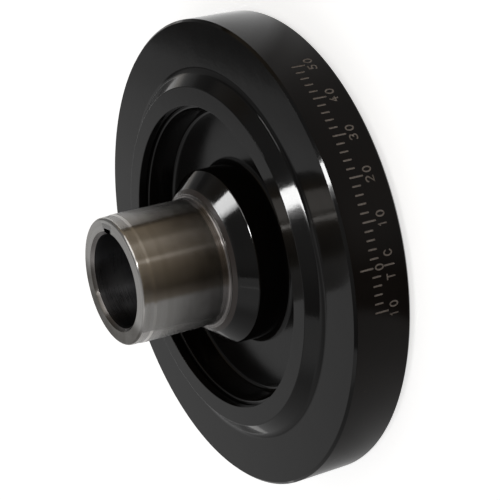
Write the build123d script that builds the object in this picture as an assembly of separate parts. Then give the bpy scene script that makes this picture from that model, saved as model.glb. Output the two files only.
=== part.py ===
"""Harmonic balancer: a bored hub, an inertia ring around it, and the elastomer ring that joins them.

Millimetres and degrees. Z is the crank axis. The hub's pulley face lies in the plane Z = 0, and the
seal sleeve points up along +Z. The keyway lies on +X. Heights are measured from the pulley face.
"""
from build123d import *
from math import radians, tan
import os

# ---------------------------------------------------------------- driving dimensions
# Inertia ring
ring_diameter = 171.45          # 6.75 in over the rim
ring_width = 22.3               # rim, from face to face
ring_setback = 1.5              # the ring's pulley side stands this far above the pulley face
ring_edge_chamfer = 0.9
ring_bore_chamfer = 0.8

# Raised shoulder on the ring's sleeve side, which overhangs the elastomer. Widths are radial
shoulder_height = 4.4
shoulder_overhang = 2.9         # how far it reaches in over the end of the hub's rim
shoulder_clearance = 0.5        # free gap between the shoulder and that end
shoulder_land = 6.85            # its flat top
shoulder_slope = 4.95           # its sloping outer side
shoulder_foot_rounding = 4.0
shoulder_top_rounding = 0.6
shoulder_bore_rounding = 0.5

# Hub rim and web
rim_outer_diameter = 117.0      # the wall that the elastomer grips
rim_end_height = 0.9            # the rim's sleeve-side end, above the ring's sleeve-side face
rim_end_width = 4.3
rim_end_rounding = 0.9
rim_wall_draft = 1.6            # radial lean of the rim's inner wall, down to the web
rim_floor_fillet = 4.0
rim_back_width = 8.0
rim_back_chamfer = 0.8
web_depth = 9.5                 # from the ring's sleeve-side face down to the web
web_thickness = 9.5
back_recess_rounding = 2.0
back_recess_draft = 0.8         # radial lean of each wall of the recess

# Pulley pad, bolt holes and washer counterbore on the pulley side
pad_margin = 8.65               # from the bolt circle out to the pad's edge
pad_rounding = 1.0
bolt_circle_diameter = 66.7     # 2 5/8 in
bolt_count = 3
bolt_start_angle = 60.0         # first bolt hole, from the keyway
bolt_hole_diameter = 8.4        # tapping size of a 3/8-24 thread
bolt_hole_depth = 10.0          # full diameter
bolt_hole_countersink = 0.9
drill_point_angle = 118.0
counterbore_diameter = 38.0
counterbore_depth = 6.0
counterbore_chamfer = 0.8

# Boss and cone at the root of the sleeve
boss_edge_diameter = 64.0
boss_edge_height = 3.0          # above the ring's sleeve-side face
boss_edge_rounding = 0.5
boss_draft = 0.6                # radial lean of the boss's wall, down to the web
boss_root_fillet = 2.4
cone_top_height = 10.0          # above the ring's sleeve-side face
cone_top_land = 1.5             # radial width of the ledge around the root of the sleeve
sleeve_root_fillet = 1.4

# Seal sleeve and bore
sleeve_diameter = 46.4          # the seal runs on it
sleeve_length = 43.7            # beyond the ring's sleeve-side face
lead_in_relief = 0.25           # radial: the free end is turned a little smaller
lead_in_length = 5.0
lead_in_step = 0.4              # axial length of the small taper down to it
sleeve_end_rounding = 0.6
bore_diameter = 33.96           # light press fit on the crank's 34 mm snout
bore_mouth_chamfer = 1.1
keyway_width = 4.76             # 3/16 in key
keyway_depth = 2.4              # beyond the wall of the bore

# Elastomer ring
elastomer_thickness = 3.5       # radial, between the hub's rim and the bore of the inertia ring
elastomer_inset = 1.3           # from the ring's pulley side
elastomer_front_clearance = 1.0  # from the underside of the shoulder
elastomer_crown = 0.6           # how far its squeezed ends bulge

# Timing scale, cut in the rim
tdc_angle = -83.0               # the zero line, from the keyway
scale_first_degree = -10        # after top dead centre
scale_last_degree = 50          # before top dead centre
scale_step = 2
scale_major_step = 10
scale_inset = 7.9               # from the ring's sleeve-side face to the marks
minor_mark_length = 3.4
major_mark_length = 5.3
zero_mark_inset = 3.6           # the zero line starts nearer the edge
zero_mark_length = 5.2
mark_width = 0.6
mark_depth = 0.3

# ---------------------------------------------------------------- diameters worked out from them
ring_bore_diameter = rim_outer_diameter + 2 * elastomer_thickness
shoulder_bore_diameter = rim_outer_diameter - 2 * shoulder_overhang
shoulder_top_diameter = shoulder_bore_diameter + 2 * shoulder_land
shoulder_foot_diameter = shoulder_top_diameter + 2 * shoulder_slope
rim_mouth_diameter = rim_outer_diameter - 2 * rim_end_width
rim_floor_diameter = rim_mouth_diameter - 2 * rim_wall_draft
pad_diameter = bolt_circle_diameter + 2 * pad_margin
back_recess_outer_diameter = rim_outer_diameter - 2 * rim_back_width
back_recess_floor = (back_recess_outer_diameter - pad_diameter) / 2 - 2 * back_recess_draft
boss_root_diameter = boss_edge_diameter + 2 * boss_draft
cone_top_diameter = sleeve_diameter + 2 * cone_top_land
lead_in_diameter = sleeve_diameter - 2 * lead_in_relief

# ---------------------------------------------------------------- heights worked out from them
ring_front = ring_setback + ring_width
shoulder_top = ring_front + shoulder_height
rim_end = ring_front + rim_end_height
shoulder_underside = rim_end + shoulder_clearance
web_front = ring_front - web_depth
web_back = web_front - web_thickness
boss_edge = ring_front + boss_edge_height
cone_top = ring_front + cone_top_height
sleeve_end = ring_front + sleeve_length
lead_in_start = sleeve_end - lead_in_length

SHARP = 0.0


def turned(corners):
    """Revolve a closed outline about Z. Each corner is its diameter, its height and its rounding."""
    points = [(diameter / 2, height) for diameter, height, rounding in corners]
    roundings = [rounding for diameter, height, rounding in corners]
    outline = make_face(FilletPolyline(*points, radius=roundings, close=True))
    return revolve(Plane.XZ * outline, Axis.Z)


def hub_blank():
    """The hub as it comes off the lathe: rim, web, boss, cone, sleeve and stepped bore."""
    counterbore_mouth = counterbore_diameter + 2 * counterbore_chamfer
    bore_mouth = bore_diameter + 2 * bore_mouth_chamfer
    recess_growth = 2 * back_recess_draft
    recess_rounding = min(back_recess_rounding, back_recess_floor / 2)
    rim_chamfer = 2 * rim_back_chamfer
    return turned([
        (bore_diameter, counterbore_depth, SHARP),
        (counterbore_diameter, counterbore_depth, SHARP),
        (counterbore_diameter, counterbore_chamfer, SHARP),
        (counterbore_mouth, 0, SHARP),
        (pad_diameter, 0, pad_rounding),
        (pad_diameter + recess_growth, web_back, recess_rounding),
        (back_recess_outer_diameter - recess_growth, web_back, recess_rounding),
        (back_recess_outer_diameter, ring_setback + rim_back_chamfer, SHARP),
        (back_recess_outer_diameter + rim_chamfer, ring_setback, SHARP),
        (rim_outer_diameter - rim_chamfer, ring_setback, SHARP),
        (rim_outer_diameter, ring_setback + rim_back_chamfer, SHARP),
        (rim_outer_diameter, rim_end, SHARP),
        (rim_mouth_diameter, rim_end, rim_end_rounding),
        (rim_floor_diameter, web_front, rim_floor_fillet),
        (boss_root_diameter, web_front, boss_root_fillet),
        (boss_edge_diameter, boss_edge, boss_edge_rounding),
        (cone_top_diameter, cone_top, SHARP),
        (sleeve_diameter, cone_top, sleeve_root_fillet),
        (sleeve_diameter, lead_in_start, SHARP),
        (lead_in_diameter, lead_in_start + lead_in_step, SHARP),
        (lead_in_diameter, sleeve_end, sleeve_end_rounding),
        (bore_mouth, sleeve_end, SHARP),
        (bore_diameter, sleeve_end - bore_mouth_chamfer, SHARP),
    ])


def keyway():
    """The slot for the crank's key, broached through the whole bore."""
    reach = bore_diameter / 2 + keyway_depth
    return Box(reach, keyway_width, sleeve_end, align=(Align.MIN, Align.CENTER, Align.MIN))


def bolt_hole():
    """A blind tapped hole, mouth down at the origin, with a countersunk mouth and a drill point."""
    radius = bolt_hole_diameter / 2
    mouth = radius + bolt_hole_countersink
    point = radius / tan(radians(drill_point_angle / 2))
    corners = [
        (0, 0),
        (mouth, 0),
        (radius, bolt_hole_countersink),
        (radius, bolt_hole_depth),
        (0, bolt_hole_depth + point),
    ]
    outline = make_face(Polyline(*corners, close=True))
    return revolve(Plane.XZ * outline, Axis.Z)


def make_hub():
    bolts = PolarLocations(bolt_circle_diameter / 2, bolt_count, start_angle=bolt_start_angle)
    return hub_blank() - keyway() - [place * bolt_hole() for place in bolts]


def timing_mark(degree):
    """One cut of the timing scale, at its place on the rim. Degrees before top dead centre count up."""
    if degree == 0:
        inset, length = zero_mark_inset, zero_mark_length
    elif degree % scale_major_step == 0:
        inset, length = scale_inset, major_mark_length
    else:
        inset, length = scale_inset, minor_mark_length
    cutter = Box(2 * mark_depth, mark_width, length, align=(Align.CENTER, Align.CENTER, Align.MAX))
    return Rot(Z=tdc_angle + degree) * Pos(ring_diameter / 2, 0, ring_front - inset) * cutter


def make_inertia_ring():
    """The heavy outer ring, with its raised shoulder and its timing scale."""
    face_diameter = ring_diameter - 2 * ring_edge_chamfer
    blank = turned([
        (ring_bore_diameter, ring_setback + ring_bore_chamfer, SHARP),
        (ring_bore_diameter + 2 * ring_bore_chamfer, ring_setback, SHARP),
        (face_diameter, ring_setback, SHARP),
        (ring_diameter, ring_setback + ring_edge_chamfer, SHARP),
        (ring_diameter, ring_front - ring_edge_chamfer, SHARP),
        (face_diameter, ring_front, SHARP),
        (shoulder_foot_diameter, ring_front, shoulder_foot_rounding),
        (shoulder_top_diameter, shoulder_top, shoulder_top_rounding),
        (shoulder_bore_diameter, shoulder_top, shoulder_bore_rounding),
        (shoulder_bore_diameter, shoulder_underside, SHARP),
        (ring_bore_diameter, shoulder_underside, SHARP),
    ])
    degrees = range(scale_first_degree, scale_last_degree + 1, scale_step)
    return blank - [timing_mark(degree) for degree in degrees]


def make_elastomer_ring():
    """The bonded ring between hub and inertia ring. Both of its ends bulge where it is squeezed."""
    inner = rim_outer_diameter / 2
    outer = ring_bore_diameter / 2
    middle = (inner + outer) / 2
    back = ring_setback + elastomer_inset
    front = shoulder_underside - elastomer_front_clearance
    outline = [
        ThreePointArc((inner, back), (middle, back - elastomer_crown), (outer, back)),
        Line((outer, back), (outer, front)),
        ThreePointArc((outer, front), (middle, front + elastomer_crown), (inner, front)),
        Line((inner, front), (inner, back)),
    ]
    return revolve(Plane.XZ * make_face(outline), Axis.Z)


os.makedirs("parts", exist_ok=True)
export_step(make_hub(), "parts/hub.step")
export_step(make_elastomer_ring(), "parts/elastomer_ring.step")
export_step(make_inertia_ring(), "parts/inertia_ring.step")
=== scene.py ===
"""Looks of the harmonic balancer: gloss black hub and inertia ring, ground steel sleeve, rubber ring.

The scene is in metres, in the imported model's frame: Z is the crank axis, and the keyway lies on +X. Sizes
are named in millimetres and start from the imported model's own boxes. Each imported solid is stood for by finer
meshes: turned outlines with rounded edges and exact normals, tapped holes, a keyway, and a timing scale that
is cut into the rim. The studio has a floor, walls, cards and softboxes, and the last two are seen only in
mirrors.
"""

import math

import bpy
import numpy as np
from mathutils import Matrix, Vector
from mathutils.geometry import delaunay_2d_cdt


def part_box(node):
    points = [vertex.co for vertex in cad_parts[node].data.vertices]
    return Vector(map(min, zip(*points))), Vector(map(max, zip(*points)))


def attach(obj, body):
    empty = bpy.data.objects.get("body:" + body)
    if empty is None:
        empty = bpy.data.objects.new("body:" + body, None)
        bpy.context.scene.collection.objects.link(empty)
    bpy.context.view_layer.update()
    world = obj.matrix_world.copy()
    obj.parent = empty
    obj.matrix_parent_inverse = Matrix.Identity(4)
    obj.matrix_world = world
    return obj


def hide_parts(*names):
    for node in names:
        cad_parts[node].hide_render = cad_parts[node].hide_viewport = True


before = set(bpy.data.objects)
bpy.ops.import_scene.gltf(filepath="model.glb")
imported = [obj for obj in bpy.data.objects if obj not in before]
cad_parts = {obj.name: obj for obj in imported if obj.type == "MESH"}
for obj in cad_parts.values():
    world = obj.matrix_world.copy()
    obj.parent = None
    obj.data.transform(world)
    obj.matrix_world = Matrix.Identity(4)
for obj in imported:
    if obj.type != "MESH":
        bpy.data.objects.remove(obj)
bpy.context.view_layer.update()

MM = 0.001
TURN = 2 * math.pi

# ---------------------------------------------------------------- sizes, in millimetres
ring_low, ring_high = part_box("inertia_ring")
_, hub_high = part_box("hub")

RING_RADIUS = ring_high.x / MM
RING_BACK = ring_low.z / MM
SHOULDER_TOP = ring_high.z / MM
SHOULDER_HEIGHT = 4.4
RING_FRONT = SHOULDER_TOP - SHOULDER_HEIGHT
RING_CHAMFER = 0.9
RING_BORE = 62.0
RING_BORE_CHAMFER = 0.8
SHOULDER_FOOT = 67.4
SHOULDER_FOOT_FILLET = 4.0
SHOULDER_CREST = 62.45
SHOULDER_CREST_ROUNDING = 0.6
SHOULDER_BORE = 55.6
SHOULDER_BORE_ROUNDING = 0.25
SHOULDER_UNDERSIDE = RING_FRONT + 1.4

RUBBER_INSET = 1.3
RUBBER_CLEARANCE = 1.0
RUBBER_CROWN = 0.6

RIM_OUTER = 58.5
RIM_END = RING_FRONT + 0.9
RIM_END_ROUNDING = 0.6
RIM_MOUTH = 54.2
RIM_FLOOR = 52.6
RIM_FLOOR_FILLET = 1.6
RIM_CHAMFER = 0.8
WEB_FRONT = RING_FRONT - 9.5
WEB_BACK = WEB_FRONT - 9.5
RECESS_OUTER = 50.5
RECESS_DRAFT = 0.8
RECESS_ROUNDING = 2.0
PAD_RADIUS = 42.0
PAD_ROUNDING = 1.0
COUNTERBORE = 19.6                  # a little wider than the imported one, so that the keyway ends inside it
COUNTERBORE_DEPTH = 6.0
COUNTERBORE_CHAMFER = 0.8
COUNTERBORE_MOUTH = COUNTERBORE + COUNTERBORE_CHAMFER
BOSS_ROOT = 32.6
BOSS_ROOT_FILLET = 2.4
BOSS_EDGE = 32.0
BOSS_EDGE_HEIGHT = RING_FRONT + 3.0
BOSS_EDGE_ROUNDING = 1.0
BOSS_SLOPE = (BOSS_ROOT - BOSS_EDGE) / (BOSS_EDGE_HEIGHT - WEB_FRONT)
BOSS_SPLIT_HEIGHT = RING_FRONT      # the boss above this height is a mesh of its own
BOSS_SPLIT = BOSS_EDGE + BOSS_SLOPE * (BOSS_EDGE_HEIGHT - BOSS_SPLIT_HEIGHT)
CONE_TOP = 24.7
CONE_TOP_HEIGHT = RING_FRONT + 10.0
CONE_SLOPE = (CONE_TOP_HEIGHT - BOSS_EDGE_HEIGHT) / (BOSS_EDGE - CONE_TOP)
# The radius at which the sleeve's hidden side passes the split
BOSS_CORE = COUNTERBORE_MOUTH + (CONE_TOP - COUNTERBORE_MOUTH) * (BOSS_SPLIT_HEIGHT / CONE_TOP_HEIGHT)
CONE_BAND = 1.45                    # a narrow turned band around the top of the cone, below the ledge
CONE_BAND_STEP = 0.35
LEDGE_ROUNDING = 0.1
SLEEVE_RELIEF = 0.45                # the sleeve widens a little just above the ledge
SLEEVE_RELIEF_LENGTH = 2.6
SLEEVE_ROOT_FILLET = 0.9
SLEEVE = 23.2
SLEEVE_END = hub_high.z / MM
LEAD_IN = 22.95
LEAD_IN_START = SLEEVE_END - 5.0
LEAD_IN_STEP = 1.0
SLEEVE_END_ROUNDING = 1.0
BORE = 16.98
BORE_CHAMFER = 1.1
KEY_HALF_WIDTH = 2.38
KEY_FLOOR = BORE + 2.2
EDGE_BREAK = 0.15
SEAM_ROUNDING = 0.05                # at corners where two meshes of the hub meet
SEAM_LAP = 0.05                     # how far the boss reaches in under the ledge
BORE_LIP = 2                        # profile points of the bore's wall that belong to its rounded mouth
LEDGE_AND_RELIEF = (3, 4)           # their places among the sides of the sleeve's outside

BOLT_CIRCLE = 33.35
BOLT_ANGLES = (60.0, 180.0, 300.0)
BOLT_HOLE = 4.2
BOLT_COUNTERSINK = 0.9
BOLT_HOLE_DEPTH = 10.0
DRILL_POINT = 2.52                  # height of the cone that the drill leaves
THREAD_PITCH = 25.4 / 24
THREAD_MAJOR = 4.76
THREAD_RUNOUT = 1.2
THREAD_SHARPNESS = 1.25             # above one, the thread has flats at its major diameter
HOLE_COLUMNS = 48
ROWS_PER_THREAD = 12

# Timing scale: angles from the keyway, and distances down from the ring's front face
TDC_ANGLE = -83.0
SCALE_DEGREES = range(-10, 51, 2)
NUMBERED_STEP = 10
TICK_INSET = 7.9
MINOR_TICK = 3.4
MAJOR_TICK = 5.3
ZERO_INSET = 3.6
ZERO_TICK = 5.2
TICK_WIDTH = 0.6
MARK_DEPTH = 0.25
DIGIT_HEIGHT = 2.9
DIGIT_WIDTH = 1.7
DIGIT_STROKE = 0.52
LABEL_INSET = 15.3
LABEL_ANGLES = (-1.05, 1.2)         # of a label's two digits, from their mark
ZERO_LABEL_INSET = 11.1
ZERO_BAR_INSET = 12.9
ZERO_BAR = 4.1
T_AND_C_INSET = 15.1
T_AND_C_ANGLE = 2.6
SCALE_SECTOR = (-99, -27)           # whole degrees of the rim that carry the scale

AROUND = 360                        # columns of a turned mesh
ARC_STEP = math.radians(9)
GLYPH_STEP = 18                     # degrees
MITRE_LIMIT = 0.6                   # keeps the sharp corners of a stroke from reaching far out
CROWN_STEPS = 6                     # from the middle of the rubber's end to its edge
ALONG = 0.999999                    # the part of a unit normal that counts as all of it
SAME_POINT = 1e-5                   # corners of a flat face that lie closer are one corner
TINY = 1e-15


# ---------------------------------------------------------------- mesh building
def link(item):
    """Adds an object to the scene, and returns it."""
    bpy.context.scene.collection.objects.link(item)
    return item


class Skin:
    """Collects faces with exact corner normals, welds them into one mesh and makes the object.

    It is made with its materials. Faces that name none get the first."""

    CELL = 1e-6                                 # points in one cell of this size, in metres, are one point
    OFFSET = np.array((0.313, 0.271, 0.387))    # keeps round sizes away from the borders of the cells

    def __init__(self, *materials):
        self.materials = materials
        self.points = []
        self.faces = []
        self.normals = []
        self.slots = []
        self.count = 0

    def add(self, points, faces, normals, material=None):
        """points: n x 3 in metres. faces: lists of indices. normals: one per point, n x 3."""
        points = np.asarray(points, float).reshape(-1, 3)
        normals = np.asarray(normals, float).reshape(-1, 3)
        slot = self.materials.index(material or self.materials[0])
        self.points.append(points)
        for face in faces:
            self.faces.append([self.count + i for i in face])
            self.normals.append([normals[i] for i in face])
            self.slots.append(slot)
        self.count += len(points)

    def grid(self, points, normals, closed=False, material=None):
        """Quads over an m x n grid of points, closed in its second direction or not."""
        rows, columns = points.shape[:2]
        last = columns if closed else columns - 1
        faces = []
        for i in range(rows - 1):
            for j in range(last):
                k = (j + 1) % columns
                here, above = i * columns, (i + 1) * columns
                faces.append((here + j, here + k, above + k, above + j))
        self.add(points, faces, normals, material)

    def build(self, name):
        """Welds what was added into one mesh, and returns its object."""
        points = np.concatenate(self.points)
        cells = np.floor(points / self.CELL + self.OFFSET).astype(np.int64)
        _, first, same = np.unique(cells, axis=0, return_index=True, return_inverse=True)
        same = same.reshape(-1)
        faces, normals, slots = [], [], []
        for face, corner_normals, slot in zip(self.faces, self.normals, self.slots):
            corners, kept = [], []
            for index, normal in zip(face, corner_normals):
                if same[index] not in corners:
                    corners.append(int(same[index]))
                    kept.append(normal)
            if len(corners) > 2:
                faces.append(corners)
                normals.extend(kept)
                slots.append(slot)
        mesh = bpy.data.meshes.new(name)
        mesh.from_pydata([tuple(p) for p in points[first]], [], faces)
        for material in self.materials:
            mesh.materials.append(material)
        mesh.polygons.foreach_set("material_index", slots)
        mesh.polygons.foreach_set("use_smooth", [True] * len(faces))
        mesh.normals_split_custom_set([tuple(n) for n in normals])
        mesh.update()
        return link(bpy.data.objects.new(name, mesh))


def rounded(corners):
    """A closed outline, anticlockwise in (radius, height), from corners (radius, height, rounding).

    Returns one list of (radius, height, normal r, normal z) for each side, which starts half way round
    the side's first corner and ends half way round its second, so that sides meet at shared points."""
    count = len(corners)
    rounds = []
    for i in range(count):
        r, z, rounding = corners[i]
        before = Vector(corners[i - 1][:2]) - Vector((r, z))
        after = Vector(corners[(i + 1) % count][:2]) - Vector((r, z))
        d_in, d_out = -before.normalized(), after.normalized()
        bend = math.atan2(d_in.x * d_out.y - d_in.y * d_out.x, d_in.dot(d_out))
        reach = rounding * math.tan(abs(bend) / 2)
        steps = 2 * max(1, math.ceil(abs(bend) / 2 / ARC_STEP))
        points = []
        start = math.atan2(-d_in.x, d_in.y)
        centre_side = 1 if bend > 0 else -1
        tangent_point = Vector((r, z)) - d_in * reach
        centre = tangent_point + Vector((-d_in.y, d_in.x)) * rounding * centre_side
        for k in range(steps + 1):
            angle = start + bend * k / steps
            normal = Vector((math.cos(angle), math.sin(angle)))
            place = centre + normal * rounding * centre_side
            points.append((place.x, place.y, normal.x, normal.y))
        rounds.append(points)
    sides = []
    for i in range(count):
        leaving, entering = rounds[i], rounds[(i + 1) % count]
        middle, end = len(leaving) // 2, len(entering) // 2
        sides.append(leaving[middle:] + entering[:end + 1])
    return sides


def flat_span(side):
    """The first and last point of a side that lie on its flat face."""
    flat = [i for i, point in enumerate(side) if abs(point[3]) > ALONG]
    return flat[0], flat[-1]


def around(angles, outline):
    """The points and normals of an outline turned to each angle, as two grids."""
    outline = np.asarray(outline, float)
    cos, sin = np.cos(angles), np.sin(angles)
    r, z, nr, nz = (outline[:, i, None] for i in range(4))
    flat = np.ones_like(cos)[None, :]
    points = np.stack((r * cos, r * sin, z * flat), axis=-1) * MM
    normals = np.stack((nr * cos, nr * sin, nz * flat), axis=-1)
    return points, normals


COLUMNS = np.arange(AROUND) * TURN / AROUND


def turn(skin, outline, material=None):
    """Adds an outline turned all the way round."""
    points, normals = around(COLUMNS, outline)
    skin.grid(points, normals, closed=True, material=material)


def circle(radius):
    """Corners of a circle in millimetres, anticlockwise. The first lies in the +X direction."""
    return [(radius * math.cos(a), radius * math.sin(a)) for a in COLUMNS]


def fill(loops, extra=()):
    """Triangles between closed loops of 2-D points. extra: open lines that the triangles must follow.

    Returns the points, the triangles, and for each triangle the numbers of the loops around it."""
    points, edges, faces = [], [], []
    for loop in loops:
        first = len(points)
        points.extend(loop)
        faces.append(list(range(first, len(points))))
    for line in extra:
        first = len(points)
        points.extend(line)
        edges.extend((first + i, first + i + 1) for i in range(len(line) - 1))
    made = delaunay_2d_cdt([Vector(p) for p in points], edges, faces, 0, SAME_POINT, True)
    verts, _, triangles, sources, _, inside = made
    exact = [points[s[0]] if s else tuple(v) for v, s in zip(verts, sources)]
    return exact, triangles, inside


def flat_face(skin, loops, height, up):
    """A flat face at a height, inside the first loop and outside the others."""
    points, triangles, inside = fill(loops)
    kept = [t for t, homes in zip(triangles, inside) if set(homes) == {0}]
    if not up:
        kept = [tuple(reversed(t)) for t in kept]
    places = [(x * MM, y * MM, height * MM) for x, y in points]
    normal = (0.0, 0.0, 1.0 if up else -1.0)
    skin.add(places, kept, [normal] * len(places))


# ---------------------------------------------------------------- materials
class Graph:
    """Short calls for building a node tree."""

    def __init__(self, tree):
        self.nodes, self.links = tree.nodes, tree.links

    def set(self, node, inputs):
        for key, value in inputs.items():
            if isinstance(value, bpy.types.NodeSocket):
                self.links.new(value, node.inputs[key])
            else:
                node.inputs[key].default_value = value

    def add(self, kind, inputs=None, output=0, **settings):
        """A new node. Its inputs take numbers or sockets. Returns one of its output sockets."""
        node = self.nodes.new("ShaderNode" + kind)
        for key, value in settings.items():
            setattr(node, key, value)
        self.set(node, inputs or {})
        return node.outputs[output]

    def math(self, operation, *values):
        return self.add("Math", dict(enumerate(values)), operation=operation)

    def plus(self, first, second):
        return self.math("ADD", first, second)

    def times(self, first, second):
        return self.math("MULTIPLY", first, second)

    def spread(self, value, low, high, to_low, to_high, smooth=False):
        inputs = {"Value": value, "From Min": low, "From Max": high, "To Min": to_low, "To Max": to_high}
        return self.add("MapRange", inputs, interpolation_type="SMOOTHSTEP" if smooth else "LINEAR")

    def place(self):
        return self.add("TexCoord", output="Object")

    def noise(self, vector, scale, detail):
        return self.add("TexNoise", {"Vector": vector, "Scale": scale, "Detail": detail}, "Fac")

    def streaks(self, value, per_metre, detail):
        """Noise along one coordinate in metres."""
        inputs = {"W": self.times(value, per_metre), "Scale": 1.0, "Detail": detail}
        return self.add("TexNoise", inputs, "Fac", noise_dimensions="1D")

    def parts(self, vector):
        node = self.nodes.new("ShaderNodeSeparateXYZ")
        self.links.new(vector, node.inputs[0])
        return node.outputs

    def ramp(self, value, stops):
        """A colour ramp from (position, (red, green, blue)) stops."""
        node = self.nodes.new("ShaderNodeValToRGB")
        self.links.new(value, node.inputs["Fac"])
        elements = node.color_ramp.elements
        while len(elements) < len(stops):
            elements.new(0.5)
        for element, (position, colour) in zip(elements, stops):
            element.position = position
            element.color = (*colour, 1)
        return node.outputs["Color"]

    def azimuth(self, vector):
        """The azimuth of a direction or place, from 0 at -180 degrees to 1 at 180."""
        x, y, _ = self.parts(vector)
        return self.spread(self.math("ARCTAN2", y, x), -math.pi, math.pi, 0, 1)

    def lathe(self, place):
        """The radius and the height of a place, in metres."""
        x, y, z = self.parts(place)
        return self.math("SQRT", self.plus(self.times(x, x), self.times(y, y))), z

    def band(self, value, low, high, soft):
        """One where a coordinate in metres lies between two sizes in millimetres, with soft edges."""
        rise = self.spread(value, (low - soft) * MM, low * MM, 0, 1, smooth=True)
        fall = self.spread(value, high * MM, (high + soft) * MM, 1, 0, smooth=True)
        return self.times(rise, fall)

    def mix(self, factor, first, second):
        node = self.nodes.new("ShaderNodeMix")
        node.data_type = "RGBA"
        for place, value in ((0, factor), (6, first), (7, second)):
            if isinstance(value, bpy.types.NodeSocket):
                self.links.new(value, node.inputs[place])
            else:
                node.inputs[place].default_value = value if place == 0 else (*value, 1)
        return node.outputs[2]

    def bump(self, *layers):
        """The normal after layers of bumps, each from its pattern, its depth in mm and its strength."""
        normal = None
        for pattern, depth, strength in layers:
            inputs = {"Height": pattern, "Distance": depth * MM, "Strength": strength}
            if normal is not None:
                inputs["Normal"] = normal
            normal = self.add("Bump", inputs)
        return normal


def new_material(name, **constants):
    """A material, its graph and its shader, with the shader's constant inputs set on its own sockets."""
    material = bpy.data.materials.new(name)
    material.use_nodes = True
    surface = material.node_tree.nodes["Principled BSDF"]
    for key, value in constants.items():
        socket = surface.inputs[key.replace("_", " ")]
        socket.default_value = (*value, 1) if isinstance(value, tuple) else value
    return material, Graph(material.node_tree), surface


# Paint: it is rough on the cast web and near the sleeve's root, and thin and brown on the cone's band
THIN_PAINT = (0.050, 0.041, 0.038)
CAST_ROUGHNESS = 0.12
ROOT_ROUGHNESS = 0.14
SPECK_ROUGHNESS = 0.1
PINHOLE = (0.012, 0.03)             # the radii of its floor and its brim, as shares of the pinholes' spacing


def black_paint(name, base, dusty, level, gloss):
    """Black enamel over turned iron: slight orange peel, a few pinholes, and dust in its gloss.

    level: its specular level. gloss: its roughness where it is clean."""
    material, graph, surface = new_material(name, Specular_IOR_Level=level)
    place = graph.place()
    radius, height = graph.lathe(place)
    peel = graph.noise(place, scale=900, detail=1.0)
    waves = graph.noise(place, scale=140, detail=1.0)
    turned = graph.streaks(graph.plus(radius, height), per_metre=1600, detail=1.0)
    spacing = graph.add("TexVoronoi", {"Vector": place, "Scale": 55.0, "Randomness": 1.0}, "Distance")
    pinholes = graph.spread(spacing, *PINHOLE, 0.0, 1.0)
    dust = graph.noise(place, scale=35, detail=4.0)
    specks = graph.noise(place, scale=2600, detail=2.0)
    cast = graph.times(
        graph.band(radius, BOSS_ROOT + 1.0, RIM_FLOOR - RIM_FLOOR_FILLET, soft=0.8),
        graph.band(height, WEB_BACK - 1.0, WEB_FRONT + 1.0, soft=0.5))
    thin = graph.times(
        graph.band(radius, 0.0, CONE_TOP + CONE_BAND, soft=0.25),
        graph.band(height, CONE_TOP_HEIGHT - 4.0, SLEEVE_END, soft=1.0))
    near_root = graph.times(
        graph.band(radius, 0.0, CONE_TOP + 0.8, soft=2.2),
        graph.band(height, CONE_TOP_HEIGHT - 6.0, SLEEVE_END, soft=1.0))
    clean = graph.spread(dust, 0.35, 0.7, 0.7 * gloss, 1.5 * gloss)
    rough = graph.plus(clean, graph.spread(specks, 0.6, 0.8, 0, SPECK_ROUGHNESS))
    rough = graph.plus(rough, graph.times(cast, CAST_ROUGHNESS))
    rough = graph.plus(rough, graph.times(near_root, ROOT_ROUGHNESS))
    tint = graph.mix(graph.spread(dust, 0.4, 0.7, 0, 1), base, dusty)
    graph.set(surface, {
        "Base Color": graph.mix(thin, tint, THIN_PAINT),
        "Roughness": rough,
        "Normal": graph.bump(
            (peel, 0.01, 0.6), (waves, 0.03, 0.5), (turned, 0.003, 0.5), (pinholes, 0.06, 0.6)),
    })
    return material


# Steel: painted shade, darker and browner on one side of the sleeve's free end. A place is more shaded the
# further it lies along the side direction, and the reach is where the shade starts and where it is full, in
# metres
PAINTED_SHADE_TINT = (0.075, 0.068, 0.058)
SHADE_SIDE = (-0.9, 0.4)
SHADE_REACH = (0.002, 0.009)
SHADE_HEIGHTS = ((SLEEVE_END - 1.3) * MM, (SLEEVE_END - 0.1) * MM)


def worked_steel(name, light, dark, roughness, marks):
    """Steel worked around its axis, which draws every reflection out along the axis.

    marks: how many grinding marks there are to a metre of the profile."""
    material, graph, surface = new_material(name, Metallic=1.0, Anisotropic=0.9, Anisotropic_Rotation=0.25)
    place = graph.place()
    x, y, z = graph.parts(place)
    along = graph.plus(*graph.lathe(place))
    fine = graph.streaks(along, per_metre=marks, detail=3.0)
    broad = graph.streaks(along, per_metre=marks / 12, detail=2.0)
    stain = graph.noise(place, scale=120, detail=5.0)
    worn = graph.plus(graph.times(broad, 0.5), graph.times(stain, 0.5))
    clean = graph.mix(graph.spread(worn, 0.35, 0.65, 0, 1), dark, light)
    # Painted shade: darker and browner towards one side of the sleeve's free end, patchy by the noise
    across = graph.plus(graph.times(x, SHADE_SIDE[0]), graph.times(y, SHADE_SIDE[1]))
    painted_shade = graph.times(
        graph.spread(across, *SHADE_REACH, 0, 1, smooth=True),
        graph.spread(z, *SHADE_HEIGHTS, 0, 1))
    painted_shade = graph.times(painted_shade, graph.spread(stain, 0.25, 0.6, 0.6, 1.0))
    graph.set(surface, {
        "Base Color": graph.mix(painted_shade, clean, PAINTED_SHADE_TINT),
        "Roughness": graph.spread(graph.plus(fine, stain), 0.7, 1.3, 0.85 * roughness, 1.15 * roughness),
        "Tangent": graph.add("Tangent", direction_type="RADIAL", axis="Z"),
        "Normal": graph.bump((fine, 0.004, 0.35)),
    })
    return material


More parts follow.
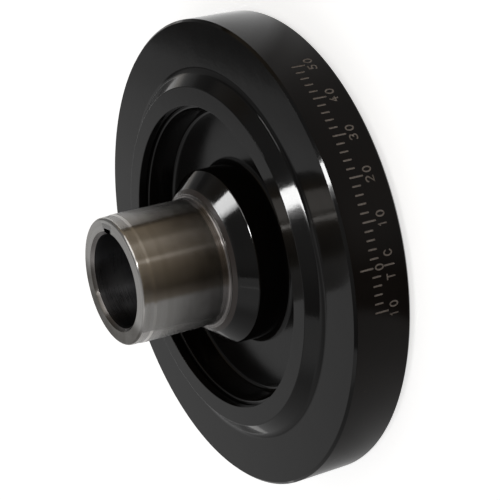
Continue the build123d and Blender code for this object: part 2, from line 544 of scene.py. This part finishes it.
def etched_mark():
    """The bare floor of the stamped scale, dull and a little uneven."""
    material, graph, surface = new_material("etched_mark", Roughness=0.6)
    grain = graph.noise(graph.place(), scale=2500, detail=3.0)
    light, dark = (0.35, 0.31, 0.285), (0.20, 0.175, 0.16)
    colour = graph.mix(graph.spread(grain, 0.3, 0.7, 0, 1), dark, light)
    graph.set(surface, {"Base Color": colour, "Normal": graph.bump((grain, 0.03, 0.6))})
    return material


def rubber():
    """Moulded rubber: dull black, with fine pores and a little bloom."""
    material, graph, surface = new_material("rubber", Specular_IOR_Level=0.3)
    place = graph.place()
    pores = graph.noise(place, scale=1800, detail=4.0)
    bloom = graph.noise(place, scale=90, detail=3.0)
    light, dark = (0.035, 0.034, 0.033), (0.012, 0.012, 0.012)
    graph.set(surface, {
        "Base Color": graph.mix(graph.spread(bloom, 0.4, 0.7, 0, 1), dark, light),
        "Roughness": graph.spread(bloom, 0.3, 0.7, 0.6, 0.8),
        "Normal": graph.bump((pores, 0.05, 0.6)),
    })
    return material


PAINT = black_paint(
    "gloss_black_paint",
    base=(0.0032, 0.0029, 0.0028), dusty=(0.0055, 0.0050, 0.0048), level=0.2, gloss=0.075)
# The rim's enamel: the same paint made browner and less reflective, painted shade so that the rim mirrors the
# bench darker
SHADED_RIM_PAINT = black_paint(
    "shaded_rim_black_paint",
    base=(0.0058, 0.0040, 0.0030), dusty=(0.0080, 0.0058, 0.0046), level=0.07, gloss=0.12)
STEEL = worked_steel(
    "ground_steel", light=(0.37, 0.36, 0.35), dark=(0.33, 0.32, 0.305), roughness=0.22, marks=5000)
# A darker copy of the ground steel: steel with some paint left on it on the ledge and relief, painted shade at
# the bore's mouth
PART_PAINTED_AND_SHADED_STEEL = worked_steel(
    "part_painted_and_shaded_steel", light=(0.22, 0.205, 0.20), dark=(0.14, 0.13, 0.125), roughness=0.26, marks=2500)
# The deeper bore's steel: a darker copy of the ground steel, painted shade inside the hole
SHADED_BORE_STEEL = worked_steel(
    "shaded_bore_steel", light=(0.14, 0.14, 0.145), dark=(0.10, 0.10, 0.105), roughness=0.3, marks=2500)
MARK = etched_mark()
RUBBER = rubber()


# ---------------------------------------------------------------- hub: painted body
def bolt_hole(skin, angle):
    """A tapped blind hole, from its mouth in the pad to its drill point. Returns the mouth's outline."""
    turns = np.arange(HOLE_COLUMNS) * TURN / HOLE_COLUMNS
    count = int(BOLT_HOLE_DEPTH / THREAD_PITCH * ROWS_PER_THREAD)
    rows, heights = [], []
    for k in range(count + 1):
        z = BOLT_HOLE_DEPTH * k / count
        fade = np.clip((BOLT_HOLE_DEPTH - THREAD_RUNOUT - z) / THREAD_PITCH, 0, 1)
        ridge = 1 - np.abs(2 * ((z / THREAD_PITCH - turns / TURN) % 1.0) - 1)
        thread = BOLT_HOLE + (THREAD_MAJOR - BOLT_HOLE) * np.clip(THREAD_SHARPNESS * ridge, 0, 1) * fade
        rows.append(np.maximum(thread, BOLT_HOLE + BOLT_COUNTERSINK - z))
        heights.append(z)
    rows.append(np.zeros(HOLE_COLUMNS))
    heights.append(BOLT_HOLE_DEPTH + DRILL_POINT)
    radii, heights = np.array(rows), np.array(heights)[:, None]
    local = np.stack((radii * np.cos(turns), radii * np.sin(turns), heights + 0 * radii), -1)
    centre = np.array((BOLT_CIRCLE * math.cos(angle), BOLT_CIRCLE * math.sin(angle), 0.0))
    points = (local + centre) * MM
    down = np.gradient(points, axis=0)
    across = np.roll(points, -1, axis=1) - np.roll(points, 1, axis=1)
    normals = np.cross(down, across)
    lengths = np.linalg.norm(normals, axis=-1, keepdims=True)
    normals = np.where(lengths > TINY, normals / np.maximum(lengths, TINY), (0.0, 0.0, -1.0))
    skin.grid(points[::-1], normals[::-1], closed=True, material=STEEL)
    return [(x / MM, y / MM) for x, y, _ in points[0]]


def make_hub_body():
    """Pad, web, rim and the boss up to the split, with the bolt holes."""
    pad, *sides = rounded([
        (COUNTERBORE_MOUTH, 0, EDGE_BREAK),
        (PAD_RADIUS, 0, PAD_ROUNDING),
        (PAD_RADIUS + RECESS_DRAFT, WEB_BACK, RECESS_ROUNDING),
        (RECESS_OUTER - RECESS_DRAFT, WEB_BACK, RECESS_ROUNDING),
        (RECESS_OUTER, RING_BACK + RIM_CHAMFER, EDGE_BREAK),
        (RECESS_OUTER + RIM_CHAMFER, RING_BACK, EDGE_BREAK),
        (RIM_OUTER - RIM_CHAMFER, RING_BACK, EDGE_BREAK),
        (RIM_OUTER, RING_BACK + RIM_CHAMFER, EDGE_BREAK),
        (RIM_OUTER, RIM_END, EDGE_BREAK),
        (RIM_MOUTH, RIM_END, RIM_END_ROUNDING),
        (RIM_FLOOR, WEB_FRONT, RIM_FLOOR_FILLET),
        (BOSS_ROOT, WEB_FRONT, BOSS_ROOT_FILLET),
        (BOSS_SPLIT, BOSS_SPLIT_HEIGHT, 0),
        (BOSS_CORE, BOSS_SPLIT_HEIGHT, 0),
    ])
    skin = Skin(PAINT, STEEL)
    inner, outer = flat_span(pad)
    turn(skin, pad[:inner + 1])
    turn(skin, pad[outer:])
    holes = [bolt_hole(skin, math.radians(angle)) for angle in BOLT_ANGLES]
    flat_face(skin, [circle(pad[outer][0]), circle(pad[inner][0])] + holes, 0.0, up=False)
    for side in sides:
        turn(skin, side)
    return skin.build("hub_body")


def make_hub_boss():
    """The boss above the split, and the cone up to the ledge. Its inner side is hidden by the sleeve."""
    skin = Skin(PAINT)
    for side in rounded([
        (BOSS_CORE, BOSS_SPLIT_HEIGHT, 0),
        (BOSS_SPLIT, BOSS_SPLIT_HEIGHT, 0),
        (BOSS_EDGE, BOSS_EDGE_HEIGHT, BOSS_EDGE_ROUNDING),
        (CONE_TOP + CONE_BAND, CONE_TOP_HEIGHT - CONE_BAND * CONE_SLOPE, EDGE_BREAK),
        (CONE_TOP - SEAM_LAP, CONE_TOP_HEIGHT - CONE_BAND_STEP, SEAM_ROUNDING),
    ]):
        turn(skin, side)
    return skin.build("hub_boss")


# ---------------------------------------------------------------- hub: ground sleeve and bore
def key_columns(radius):
    """The angles of the columns around the bore, from one side of the keyway round to the other."""
    gap = math.asin(KEY_HALF_WIDTH / radius)
    return gap + (TURN - 2 * gap) * np.arange(AROUND + 1) / AROUND


def key_loop(radius):
    """The bore's outline with its keyway, in millimetres."""
    wall = [(radius * math.cos(a), radius * math.sin(a)) for a in key_columns(radius)]
    return [(KEY_FLOOR, KEY_HALF_WIDTH)] + wall + [(KEY_FLOOR, -KEY_HALF_WIDTH)]


def make_bore(skin, profile, material):
    """Part of the bore from its profile, open at the keyway, and that part of the keyway's own walls."""
    rows = [around(key_columns(point[0]), [point]) for point in profile]
    points, normals = (np.concatenate([row[i] for row in rows]) for i in range(2))
    skin.grid(points, normals, material=material)
    edge = np.array([(math.sqrt(r * r - KEY_HALF_WIDTH ** 2), z) for r, z, _, _ in profile])
    for side in (1, -1):
        near = np.stack((edge[:, 0], 0 * edge[:, 0] + side * KEY_HALF_WIDTH, edge[:, 1]), -1)
        far = near.copy()
        far[:, 0] = KEY_FLOOR
        wall = np.stack((near, far)[::side], 1) * MM
        skin.grid(wall, np.broadcast_to((0.0, -side, 0.0), wall.shape))
    sides = (KEY_HALF_WIDTH, -KEY_HALF_WIDTH)
    floor = np.array([[(KEY_FLOOR, y, z) for y in sides] for z in edge[:, 1]]) * MM
    skin.grid(floor, np.broadcast_to((-1.0, 0.0, 0.0), floor.shape))


def make_sleeve():
    """Counterbore, ledge, relief, ground sleeve, free end and bore, with the keyway through the bore."""
    floor, *outside, end, chamfer, wall = rounded([
        (BORE, COUNTERBORE_DEPTH, EDGE_BREAK),
        (COUNTERBORE, COUNTERBORE_DEPTH, EDGE_BREAK),
        (COUNTERBORE, COUNTERBORE_CHAMFER, EDGE_BREAK),
        (COUNTERBORE_MOUTH, 0, SEAM_ROUNDING),
        (CONE_TOP, CONE_TOP_HEIGHT, LEDGE_ROUNDING),
        (SLEEVE + SLEEVE_RELIEF, CONE_TOP_HEIGHT, SLEEVE_ROOT_FILLET),
        (SLEEVE, CONE_TOP_HEIGHT + SLEEVE_RELIEF_LENGTH, SLEEVE_ROOT_FILLET),
        (SLEEVE, LEAD_IN_START, EDGE_BREAK),
        (LEAD_IN, LEAD_IN_START + LEAD_IN_STEP, EDGE_BREAK),
        (LEAD_IN, SLEEVE_END, SLEEVE_END_ROUNDING),
        (BORE + BORE_CHAMFER, SLEEVE_END, EDGE_BREAK),
        (BORE, SLEEVE_END - BORE_CHAMFER, EDGE_BREAK),
    ])
    skin = Skin(STEEL, SHADED_BORE_STEEL, PART_PAINTED_AND_SHADED_STEEL)
    for number, side in enumerate(outside):
        turn(skin, side, material=PART_PAINTED_AND_SHADED_STEEL if number in LEDGE_AND_RELIEF else STEEL)
    end_outer, end_inner = flat_span(end)
    floor_inner, floor_outer = flat_span(floor)
    turn(skin, end[:end_outer + 1])
    turn(skin, floor[floor_outer:])
    end_loops = [circle(end[end_outer][0]), key_loop(end[end_inner][0])]
    floor_loops = [circle(floor[floor_outer][0]), key_loop(floor[floor_inner][0])]
    flat_face(skin, end_loops, SLEEVE_END, up=True)
    flat_face(skin, floor_loops, COUNTERBORE_DEPTH, up=False)
    # The bore's mouth and the deeper bore take darker copies of the steel: painted shade inside the hole
    make_bore(skin, end[end_inner:] + chamfer[1:] + wall[1:BORE_LIP], PART_PAINTED_AND_SHADED_STEEL)
    make_bore(skin, wall[BORE_LIP - 1:] + floor[1:floor_inner + 1], SHADED_BORE_STEEL)
    return skin.build("hub_sleeve")


# ---------------------------------------------------------------- timing scale
def arc(x, y, rx, ry, start, end):
    """Points along part of an ellipse, in four steps or more. Its angles are in degrees."""
    steps = max(4, math.ceil(abs(end - start) / GLYPH_STEP))
    angles = [math.radians(start + (end - start) * k / steps) for k in range(steps + 1)]
    return [(x + rx * math.cos(a), y + ry * math.sin(a)) for a in angles]


# Each glyph is a list of strokes around its own middle
W, H = DIGIT_WIDTH / 2, DIGIT_HEIGHT / 2
GLYPHS = {
    "0": [arc(0, 0, W, H, 0, 360)],
    "1": [[(-0.4 * W, 0.62 * H), (0.1 * W, H), (0.1 * W, -H)]],
    "2": [arc(0, 0.45 * H, W, 0.55 * H, 170, -35) + [(-W, -H), (W, -H)]],
    "3": [arc(-0.1 * W, 0.48 * H, W, 0.52 * H, 150, -80),
          arc(-0.1 * W, -0.48 * H, 1.1 * W, 0.52 * H, 80, -150)],
    "4": [[(0.3 * W, H), (-W, -0.35 * H), (W, -0.35 * H)], [(0.35 * W, 0.2 * H), (0.35 * W, -H)]],
    "5": [[(0.85 * W, H), (-0.6 * W, H)] + arc(-0.1 * W, -0.4 * H, 1.1 * W, 0.6 * H, 115, -150)],
    "T": [[(-W, H), (W, H)], [(0, H), (0, -H)]],
    "C": [arc(0.1 * W, 0, 1.1 * W, H, 35, 325)],
}


def stroke(line, width):
    """The outline of a stroke of even width with round ends.

    A closed anticlockwise line gives two: its outer outline and its inner one."""
    half = width / 2
    line = np.array(line)
    closed = np.allclose(line[0], line[-1])
    steps = np.diff(line, axis=0)
    steps /= np.linalg.norm(steps, axis=1, keepdims=True)
    before = np.vstack((steps[-1:] if closed else steps[:1], steps))
    after = np.vstack((steps, steps[:1] if closed else steps[-1:]))
    lean = before + after
    lean /= np.linalg.norm(lean, axis=1, keepdims=True)
    reach = half / np.maximum(MITRE_LIMIT, (lean * after).sum(1))
    side = np.stack((-lean[:, 1], lean[:, 0]), 1) * reach[:, None]
    left, right = line + side, line - side
    if closed:
        return [right[:-1], left[:-1]]
    caps = []
    for end, outward in ((line[-1], steps[-1]), (line[0], -steps[0])):
        turned = math.degrees(math.atan2(outward[1], outward[0]))
        caps.append(np.array(arc(end[0], end[1], half, half, turned - 90, turned + 90)[1:-1]))
    return [np.vstack((right, caps[0], left[::-1], caps[1]))]


def scale_outlines():
    """Outlines of all cuts in the rim, as angle in radians times radius, and height, in millimetres."""
    cuts = []

    def place(angle, inset):
        return np.array((math.radians(angle) * RING_RADIUS, RING_FRONT - inset))

    def mark(angle, inset, length):
        top = place(angle, inset + TICK_WIDTH / 2)
        bottom = place(angle, inset + length - TICK_WIDTH / 2)
        cuts.append(stroke([top, bottom], TICK_WIDTH))

    def write(glyph, angle, inset):
        for line in GLYPHS[glyph]:
            cuts.append(stroke([place(angle, inset) + point for point in line], DIGIT_STROKE))

    for degree in SCALE_DEGREES:
        angle = TDC_ANGLE + degree
        if degree % NUMBERED_STEP:
            mark(angle, TICK_INSET, MINOR_TICK)
        elif degree:
            mark(angle, TICK_INSET, MAJOR_TICK)
            for digit, shift in zip(str(abs(degree)), LABEL_ANGLES):
                write(digit, angle + shift, LABEL_INSET)
    mark(TDC_ANGLE, ZERO_INSET, ZERO_TICK)
    mark(TDC_ANGLE, ZERO_BAR_INSET, ZERO_BAR)
    write("0", TDC_ANGLE, ZERO_LABEL_INSET)
    write("T", TDC_ANGLE - T_AND_C_ANGLE, T_AND_C_INSET)
    write("C", TDC_ANGLE + T_AND_C_ANGLE, T_AND_C_INSET)
    return cuts


def on_rim(flat, depth=0.0):
    """Points and outward normals on the rim, a depth below it, from (angle times radius, height)."""
    flat = np.asarray(flat, float).reshape(-1, 2)
    angles = flat[:, 0] / RING_RADIUS
    normals = np.stack((np.cos(angles), np.sin(angles), 0 * angles), -1)
    points = normals * (RING_RADIUS - depth) + flat[:, 1:] * (0, 0, 1)
    return points * MM, normals


def make_scale(skin, low, high):
    """The part of the rim that carries the scale, between two heights, with every cut sunk into it."""
    first, last = SCALE_SECTOR
    columns = [math.radians(degree) * RING_RADIUS for degree in range(first, last + 1)]
    loops = [[(u, low) for u in columns] + [(u, high) for u in reversed(columns)]]
    inner = set()
    for cut in scale_outlines():
        for number, outline in enumerate(cut):
            if number:
                inner.add(len(loops))
            loops.append([tuple(point) for point in outline])
    uprights = [[(u, low), (u, high)] for u in columns[1:-1]]
    points, triangles, homes = fill(loops, uprights)
    face, floor = [], []
    for triangle, home in zip(triangles, homes):
        home = set(home)
        if 0 not in home:
            continue
        # Inside a stroke, and not in the hole of a closed one
        sunk = len(home) > 1 and not home & inner
        (floor if sunk else face).append(tuple(triangle))
    top, normals = on_rim(points)
    bottom, _ = on_rim(points, MARK_DEPTH)
    skin.add(top, face, normals, SHADED_RIM_PAINT)
    skin.add(bottom, floor, normals, MARK)
    sunk_edges = {(t[i], t[(i + 1) % 3]) for t in floor for i in range(3)}
    for t in face:
        for i in range(3):
            a, b = t[i], t[(i + 1) % 3]
            if (b, a) in sunk_edges:
                wall = np.array((top[a], bottom[a], bottom[b], top[b]))
                normal = np.cross(wall[1] - wall[0], wall[3] - wall[0])
                normal /= np.linalg.norm(normal)
                skin.add(wall, [(0, 1, 2, 3)], [normal] * 4, MARK)


# ---------------------------------------------------------------- inertia ring and rubber
def make_inertia_ring():
    """The heavy outer ring, with its raised shoulder and its timing scale."""
    face = RING_RADIUS - RING_CHAMFER
    bore_chamfer, back, back_chamfer, rim, *sides = rounded([
        (RING_BORE, RING_BACK + RING_BORE_CHAMFER, EDGE_BREAK),
        (RING_BORE + RING_BORE_CHAMFER, RING_BACK, EDGE_BREAK),
        (face, RING_BACK, EDGE_BREAK),
        (RING_RADIUS, RING_BACK + RING_CHAMFER, EDGE_BREAK),
        (RING_RADIUS, RING_FRONT - RING_CHAMFER, EDGE_BREAK),
        (face, RING_FRONT, EDGE_BREAK),
        (SHOULDER_FOOT, RING_FRONT, SHOULDER_FOOT_FILLET),
        (SHOULDER_CREST, SHOULDER_TOP, SHOULDER_CREST_ROUNDING),
        (SHOULDER_BORE, SHOULDER_TOP, SHOULDER_BORE_ROUNDING),
        (SHOULDER_BORE, SHOULDER_UNDERSIDE, EDGE_BREAK),
        (RING_BORE, SHOULDER_UNDERSIDE, EDGE_BREAK),
    ])
    skin = Skin(PAINT, MARK, SHADED_RIM_PAINT)
    for side in (bore_chamfer, back, back_chamfer, *sides):
        turn(skin, side)
    wall = [i for i, point in enumerate(rim) if point[2] > ALONG]
    low, high = wall[0], wall[-1]
    turn(skin, rim[:low + 1])
    turn(skin, rim[high:])
    first, last = SCALE_SECTOR
    plain = np.radians(np.arange(last, first + 360 + 1))
    skin.grid(*around(plain, rim[low:high + 1]), material=SHADED_RIM_PAINT)
    make_scale(skin, rim[low][1], rim[high][1])
    return skin.build("inertia_ring_body")


def crowned_end(height, crown):
    """One end of the rubber ring, from its inner edge to its outer one: an arc that bulges by the crown."""
    middle, half = (RIM_OUTER + RING_BORE) / 2, (RING_BORE - RIM_OUTER) / 2
    radius = (half * half + crown * crown) / (2 * abs(crown))
    side = math.copysign(1, crown)
    points = []
    for k in range(-CROWN_STEPS, CROWN_STEPS + 1):
        angle = math.asin(half / radius) * k / CROWN_STEPS
        r = middle + radius * math.sin(angle)
        z = height + crown + side * radius * (math.cos(angle) - 1)
        points.append((r, z, math.sin(angle), side * math.cos(angle)))
    return points


def make_elastomer():
    """The rubber ring between the hub's rim and the inertia ring's bore."""
    back = crowned_end(RING_BACK + RUBBER_INSET, -RUBBER_CROWN)
    front = crowned_end(SHOULDER_UNDERSIDE - RUBBER_CLEARANCE, RUBBER_CROWN)
    skin = Skin(RUBBER)
    turn(skin, back)
    turn(skin, [(*back[-1][:2], 1, 0), (*front[-1][:2], 1, 0)])
    turn(skin, front[::-1])
    turn(skin, [(*front[0][:2], -1, 0), (*back[0][:2], -1, 0)])
    return skin.build("rubber_ring")


PIECES = (
    (make_hub_body(), "hub", "black_paint"),
    (make_hub_boss(), "hub", "black_paint"),
    (make_sleeve(), "hub", "bare_steel"),
    (make_inertia_ring(), "inertia_ring", "black_paint"),
    (make_elastomer(), "elastomer_ring", "elastomer"),
)
for piece, node, slot in PIECES:
    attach(piece, "root")
    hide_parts(node)


# ---------------------------------------------------------------- floor and walls
FLOOR_HALF = 6.0
FLOOR_COLOUR = (0.9, 0.9, 0.9)
FLOOR_GLOW = 0.70
FLOOR_GAP = 0.0001              # keeps the floor's surface apart from the face that rests on it

# The studio as the object sees it. Each row is an azimuth in degrees from the keyway, the brightness
# there and, in some, how warm its grey is. The high walls stand over the low ones
HIGH_WALLS = (
    (-180, 0.90), (-160, 1.10), (-143.5, 1.15), (-142.5, 0.22), (-125, 0.28), (-108, 0.42), (-85, 0.45),
    (-60, 0.42), (-20, 0.42), (10, 0.38), (40, 0.30), (52, 0.18), (64, 0.18), (76, 0.45), (92, 0.10),
    (97, 0.08), (100, 0.20), (103, 0.50), (109, 0.70), (117, 0.55), (128, 0.38), (140, 0.50), (165, 0.65),
    (180, 0.90),
)
NEAR_SIDE = (
    (-180, 0.50, 0), (-129, 0.54, 0), (-124, 0.24, 0.6), (-105, 0.08, 1), (-80, 0.16, 1), (-57, 0.28, 1),
    (-54, 0.62, 0.6), (-50, 0.62, 0.6), (-47, 0.28, 1), (-20, 0.52, 0.7), (-12, 0.28, 1), (14, 0.30, 1),
)
LOW_WALLS = NEAR_SIDE + (
    (33, 0.24, 0.6), (48, 0.28, 0.2), (55, 0.13, 0), (62, 0.14, 0), (67, 0.27, 0), (72, 0.36, 0),
    (75, 0.85, 0.2), (78, 0.85, 0.2), (82, 0.30, 0), (95, 0.22, 0), (110, 0.60, 0), (128, 0.38, 0),
    (140, 0.50, 0), (180, 0.50, 0),
)
HORIZON_BAND = (0.56, 0.70)     # sines of the elevations between which low walls give way to high ones
WARM = (1.22, 1.0, 0.72)        # the tint of a fully warm grey


def greys(levels):
    """Ramp stops from rows of a position and a brightness."""
    return [(position, (level, level, level)) for position, level in levels]


def wall_stops(levels, place=lambda azimuth: azimuth):
    """Ramp stops from rows of walls. place: where a card stands for a wall's azimuth."""
    stops = []
    for azimuth, level, *warmth in levels:
        warm = warmth[0] if warmth else 0.0
        colour = tuple(level * (1 + warm * (tint - 1)) for tint in WARM)
        stops.append(((place(azimuth) + 180) / 360, colour))
    return stops


def make_floor():
    """White to the camera and in mirrors, by a glow that leaves the object's soft shadow on it."""
    mesh = bpy.data.meshes.new("floor")
    corners = ((-1, -1), (1, -1), (1, 1), (-1, 1))
    mesh.from_pydata([(x * FLOOR_HALF, y * FLOOR_HALF, -FLOOR_GAP) for x, y in corners], [], [(0, 1, 2, 3)])
    material, graph, surface = new_material(
        "floor_white",
        Base_Color=FLOOR_COLOUR, Roughness=1.0, Specular_IOR_Level=0.0, Emission_Color=(1.0, 1.0, 1.0))
    rays = graph.nodes.new("ShaderNodeLightPath").outputs
    mirrored = graph.plus(rays["Is Glossy Ray"], rays["Is Transmission Ray"])
    seen = graph.math("MINIMUM", graph.plus(rays["Is Camera Ray"], mirrored), 1.0)
    graph.set(surface, {"Emission Strength": graph.times(seen, FLOOR_GLOW)})
    mesh.materials.append(material)
    link(bpy.data.objects.new("floor", mesh))


def make_world():
    """Studio walls whose brightness changes with the direction, seen as from the object."""
    world = bpy.data.worlds.new("studio")
    world.use_nodes = True
    graph = Graph(world.node_tree)
    direction = graph.add("TexCoord", output="Generated")
    azimuth = graph.azimuth(direction)
    low, high = (graph.ramp(azimuth, wall_stops(walls)) for walls in (LOW_WALLS, HIGH_WALLS))
    height = graph.spread(graph.parts(direction)["Z"], *HORIZON_BAND, 0, 1, smooth=True)
    graph.set(graph.nodes["Background"], {"Color": graph.mix(height, low, high), "Strength": 1.0})
    bpy.context.scene.world = world


# ---------------------------------------------------------------- cards
# In metres: a low ring of cards on the floor, with its height by azimuth
CARD_RADIUS = 0.125
CARD_HEIGHTS = ((-180, 0.02), (-172, 0.065), (10, 0.065), (16, 0.02), (180, 0.02))
CARDS = NEAR_SIDE + (
    (19, 0.08, 1), (33, 0.08, 1), (40, 0.36, 0.3), (60, 0.52, 0), (78, 0.40, 0), (92, 0.24, 0),
    (116, 0.50, 0), (124, 0.30, 0), (150, 0.28, 0), (172, 0.50, 0), (180, 0.50, 0),
)
CARD_SPREAD, CARD_SHIFT = 0.9, -6   # from the azimuth of a wall to its place on the ring of cards

# A glowing sheet just above the bench top between the rim and the ring of cards, seen only in mirrors: painted
# shade and light on the bench, which the rim mirrors in its place. Brightness by azimuth
APRON_HEIGHT = 0.0002
APRON_GAP = 0.0001              # between the rim and the apron
APRON_SHADE_AND_LIGHT = (
    (-180, 0.45), (-150, 0.47), (-143, 0.58), (-137, 0.75), (-130, 0.90), (-116, 1.10), (-99, 1.05),
    (-96.5, 0.22), (-87, 0.28), (-80, 0.75), (-72, 1.05), (-60, 0.95), (-35, 0.90), (-28, 0.95),
    (-21, 1.10), (-14, 0.85), (-7, 1.35), (0, 1.35), (6, 1.20), (13, 1.05), (40, 1.0), (180, 0.45),
)

# A wall behind the object, which its flat faces mirror: brightness by X, measured at the height
# BACK_CARD_MIDDLE. Lines of equal brightness lean over by a share of the height
BACK_CARD_Y = 0.4
BACK_CARD_HEIGHTS = (0.1, 0.5)
BACK_CARD_MIDDLE = 0.23
BACK_CARD_LEAN = 0.5
BACK_CARD = (
    (-0.35, 0.60), (-0.17, 0.64), (-0.091, 0.66), (-0.0345, 0.55), (-0.015, 0.44), (0.001, 0.43),
    (0.008, 0.22), (0.016, 0.15), (0.022, 0.09), (0.035, 0.10), (0.07, 0.26), (0.25, 0.26),
)


def hang_card(name, corners, faces, position, stops):
    """A glowing card that is seen only in mirrors. position: gives the ramp's input from the card's graph."""
    mesh = bpy.data.meshes.new(name)
    mesh.from_pydata(corners, [], faces)
    material, graph, _ = new_material(name + "_greys")
    glow = graph.add("Emission", {"Color": graph.ramp(position(graph), stops)})
    graph.set(graph.nodes["Material Output"], {"Surface": glow})
    mesh.materials.append(material)
    card = link(bpy.data.objects.new(name, mesh))
    card.visible_camera = False
    card.visible_diffuse = False
    card.visible_shadow = False


def hang_ring(name, edges, stops):
    """A closed ring of cards. edges: gives the two edges, as (radius, height), at an angle in radians."""
    corners, faces = [], []
    for k, angle in enumerate(COLUMNS):
        corners += [(r * math.cos(angle), r * math.sin(angle), z) for r, z in edges(angle)]
        after = (k + 1) % AROUND
        faces.append((2 * k, 2 * k + 1, 2 * after + 1, 2 * after))
    hang_card(name, corners, faces, lambda graph: graph.azimuth(graph.place()), stops)


def card_azimuth(azimuth):
    """Where on the ring of cards the sleeve sees what the walls show at an azimuth."""
    return azimuth if abs(azimuth) == 180 else CARD_SPREAD * azimuth + CARD_SHIFT


def card_edges(angle):
    """The top and the foot of the ring of cards."""
    height = np.interp((math.degrees(angle) + 180) % 360 - 180, *zip(*CARD_HEIGHTS))
    return (CARD_RADIUS, float(height)), (CARD_RADIUS, 0.0)


def apron_edges(angle):
    """The apron's inner and outer edge."""
    return (RING_RADIUS * MM + APRON_GAP, APRON_HEIGHT), (CARD_RADIUS, APRON_HEIGHT)


def make_back_card():
    left, right = BACK_CARD[0][0], BACK_CARD[-1][0]
    bottom, top = BACK_CARD_HEIGHTS
    corners = [(x, BACK_CARD_Y, z) for x, z in ((left, bottom), (right, bottom), (right, top), (left, top))]

    def position(graph):
        x, _, z = graph.parts(graph.place())
        above = graph.math("SUBTRACT", z, BACK_CARD_MIDDLE)
        return graph.spread(graph.plus(x, graph.times(above, BACK_CARD_LEAN)), left, right, 0, 1)

    stops = greys([((x - left) / (right - left), level) for x, level in BACK_CARD])
    hang_card("back_card", corners, [(0, 1, 2, 3)], position, stops)


# ---------------------------------------------------------------- lamps
# In metres: the softboxes stand LAMP_DISTANCE away from a point on the axis, at the height LAMP_AIM
LAMP_AIM = 0.026
LAMP_DISTANCE = 1.0

# A softbox's brightness, by the share of its width
EVEN = ((0.0, 1.0), (1.0, 1.0))
KEY_FALL = ((0.0, 1.0), (0.55, 1.0), (0.7, 0.12), (1.0, 0.0))
FILL_FALL = ((0.0, 1.0), (0.7, 1.0), (1.0, 0.3))


def make_lamp(name, azimuth, elevation, centre, size, lean, radiance, shape, receiver):
    """A softbox that only mirrors in one piece.

    centre: how far it stands to the left and upwards of its direction. lean: degrees about its middle."""
    az, el = math.radians(azimuth), math.radians(elevation)
    ahead = Vector((math.cos(az) * math.cos(el), math.sin(az) * math.cos(el), math.sin(el)))
    left = Vector((-math.sin(az), math.cos(az), 0))
    up = ahead.cross(left)
    data = bpy.data.lights.new(name, "AREA")
    data.shape = "RECTANGLE"
    data.size, data.size_y = size
    data.energy = radiance * size[0] * size[1] * math.pi
    data.use_nodes = True
    graph = Graph(data.node_tree)
    across = graph.parts(graph.add("NewGeometry", output="Parametric"))["X"]
    graph.set(graph.nodes["Emission"], {"Color": graph.ramp(across, greys(shape))})
    lamp = link(bpy.data.objects.new(name, data))
    place = Vector((0, 0, LAMP_AIM)) + (ahead + left * centre[0] + up * centre[1]) * LAMP_DISTANCE
    facing = Matrix((-left, up, ahead)).transposed().to_4x4()
    turned = facing @ Matrix.Rotation(math.radians(lean), 4, "Z")
    lamp.matrix_world = Matrix.Translation(place) @ turned
    lamp.visible_diffuse = False
    lit = bpy.data.collections.new(name + "_receivers")
    lit.objects.link(receiver)
    lamp.light_linking.receiver_collection = lit


# ---------------------------------------------------------------- camera
CAMERA_PLACE = Vector((0.15874, -0.50024, 0.29276))
CAMERA_RIGHT = Vector((-0.09016, -0.50965, -0.85564))
CAMERA_UP = Vector((0.95928, 0.18647, -0.21215))
CAMERA_LENS = 117.09
SENSOR_WIDTH = 36.0


def make_camera():
    data = bpy.data.cameras.new("camera")
    data.lens = CAMERA_LENS
    data.sensor_width = SENSOR_WIDTH
    camera = link(bpy.data.objects.new("camera", data))
    right = CAMERA_RIGHT.normalized()
    back = right.cross(CAMERA_UP).normalized()
    up = back.cross(right)
    turned = Matrix((right, up, back)).transposed().to_4x4()
    camera.matrix_world = Matrix.Translation(CAMERA_PLACE) @ turned
    bpy.context.scene.camera = camera


_, hub_boss, hub_sleeve, ring_body, _ = (piece for piece, _, _ in PIECES)
make_floor()
hang_ring("cards", card_edges, wall_stops(CARDS, card_azimuth))
# The apron: painted shade and light on the bench, seen only in mirrors
hang_ring("apron", apron_edges, wall_stops(APRON_SHADE_AND_LIGHT))
make_back_card()
make_world()

# Name, azimuth, elevation, centre, size, lean, radiance, brightness across it, and the piece it shines on
for softbox in (
    ("key_softbox", -42, 62, (0.02, 0.10), (0.24, 0.75), 14, 60, KEY_FALL, ring_body),
    ("fill_softbox", 8, 48, (0.04, 0.0), (0.30, 0.30), 0, 36, FILL_FALL, hub_boss),
    ("strip_softbox", -50.5, 31, (0.0, 0.25), (0.06, 0.85), 0, 10, EVEN, hub_sleeve),
    ("side_softbox", -15, 31, (0.0, 0.25), (0.75, 0.85), 0, 2.0, EVEN, hub_sleeve),
    ("edge_softbox", -50, 31, (0.0, 0.0), (0.20, 0.50), 0, 110, EVEN, hub_boss),
    ("edge_fill", -10, 31, (0.0, 0.0), (0.75, 0.45), 0, 10, EVEN, hub_boss),
    ("low_softbox", -135, 55, (0.0, 0.0), (0.16, 0.50), 0, 0.9, EVEN, hub_boss),
    ("foot_softbox", 37, 58, (0.0, 0.0), (0.035, 0.25), -28, 14, EVEN, ring_body),
):
    make_lamp(*softbox)
make_camera()
bpy.context.scene.view_settings.view_transform = "Standard"
